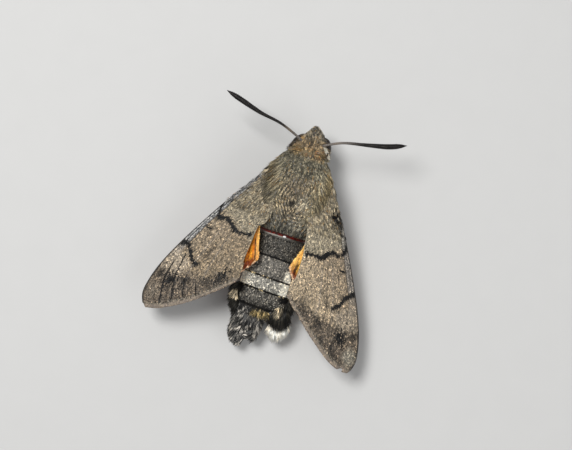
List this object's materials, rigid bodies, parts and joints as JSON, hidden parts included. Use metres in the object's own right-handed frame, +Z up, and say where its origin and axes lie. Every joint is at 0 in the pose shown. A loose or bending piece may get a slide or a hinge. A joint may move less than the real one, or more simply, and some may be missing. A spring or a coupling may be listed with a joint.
{
  "type": "hummingbird hawk moth",
  "caption": "Life-size hummingbird hawk moth at rest on its feet, with brown forewings swept back over orange hindwings, clubbed antennae and a dark tail fan.",
  "frame": {"origin": "on the floor under the middle of the moth's bounding box", "axes": "+X to the moth's left, +Y to its tail, +Z up; the head points to -Y"},
  "size_m": [0.0248, 0.0264, 0.0087],
  "materials": {
    "fur": "soft olive gray-brown fur",
    "forewing": "gray-brown scales with black wavy lines",
    "hindwing": "orange scales with a brown margin",
    "abdomen": "gray scales in bands with pale sides",
    "tail_hair": "black and dark gray hair scales with white tips",
    "eye": "glossy dark brown",
    "antenna": "dark scales, paler at the base",
    "proboscis": "dark brown horn",
    "leg": "pale gray-brown scales"
  },
  "bodies": {
    "root": {"head": "fur", "eye_left": "eye", "eye_right": "eye", "palp_left": "fur", "palp_right": "fur", "antenna_left": "antenna", "antenna_right": "antenna", "proboscis": "proboscis", "thorax": "fur", "abdomen": "abdomen", "tail_fan": "tail_hair", "forewing_left": "forewing", "forewing_right": "forewing", "hindwing_left": "hindwing", "hindwing_right": "hindwing", "leg_fore_left_femur": "leg", "leg_fore_left_tibia": "leg", "leg_fore_left_tarsus": "leg", "leg_fore_right_femur": "leg", "leg_fore_right_tibia": "leg", "leg_fore_right_tarsus": "leg", "leg_mid_left_femur": "leg", "leg_mid_left_tibia": "leg", "leg_mid_left_tarsus": "leg", "leg_mid_right_femur": "leg", "leg_mid_right_tibia": "leg", "leg_mid_right_tarsus": "leg", "leg_hind_left_femur": "leg", "leg_hind_left_tibia": "leg", "leg_hind_left_tarsus": "leg", "leg_hind_right_femur": "leg", "leg_hind_right_tibia": "leg", "leg_hind_right_tarsus": "leg"}
  },
  "joints": []
}
